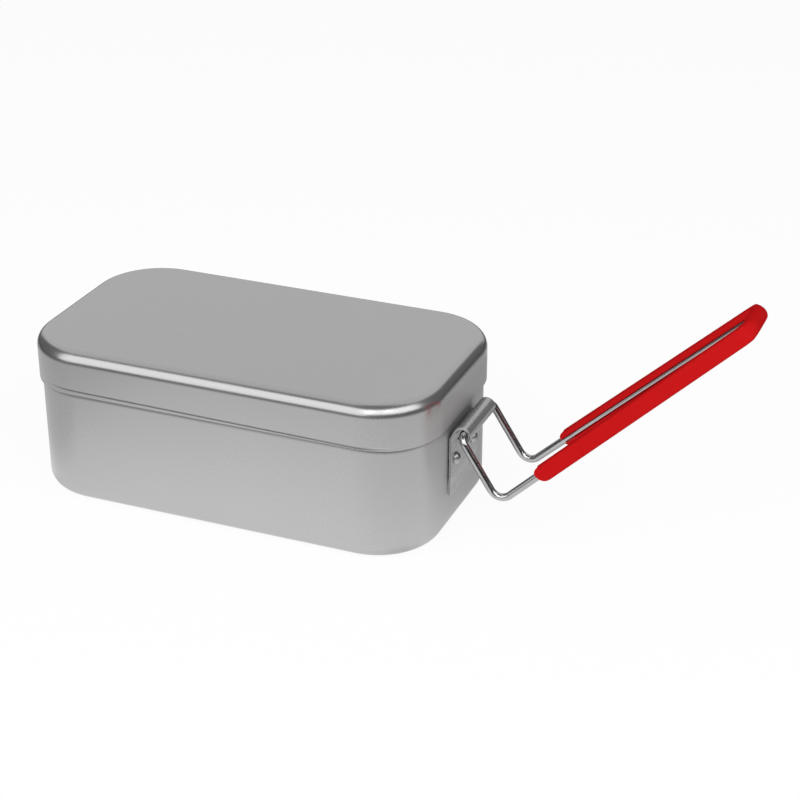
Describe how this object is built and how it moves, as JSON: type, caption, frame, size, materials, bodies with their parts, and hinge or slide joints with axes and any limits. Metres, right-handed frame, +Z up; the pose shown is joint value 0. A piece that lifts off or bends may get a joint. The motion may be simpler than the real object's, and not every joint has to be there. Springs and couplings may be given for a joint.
{
  "type": "mess tin",
  "caption": "Rectangular drawn aluminium mess tin with rounded corners, a slip-over lid and a folding wire handle with a moulded grip, hinged on one short side.",
  "frame": {"origin": "middle of the pan's underside, on the surface it stands on", "axes": "+X along the long side towards the hinge and handle, +Z up, the tin is alike on both sides of the XZ plane"},
  "size_m": [0.2809, 0.095, 0.1045],
  "materials": {
    "aluminium": "satin",
    "bracket_steel": "satin",
    "rivet_aluminium": "satin",
    "wire_steel": "polished",
    "red_plastic": "semi-gloss"
  },
  "bodies": {
    "pan": {"pan": "aluminium", "hinge_bracket": "bracket_steel", "rivet_front": "rivet_aluminium", "rivet_rear": "rivet_aluminium"},
    "lid": {"lid": "aluminium"},
    "handle": {"bail_wire": "wire_steel", "grip_sleeve": "red_plastic"}
  },
  "joints": [
    {"name": "handle_fold", "type": "hinge", "parent": "pan", "child": "handle", "pos_m": [0.08986, 0, 0.04317], "axis": [0, -1, 0], "range_deg": [-41, 137]},
    {"name": "lid_lift", "type": "slide", "parent": "pan", "child": "lid", "axis": [0, 0, 1], "range_m": [0, 0.06]}
  ]
}
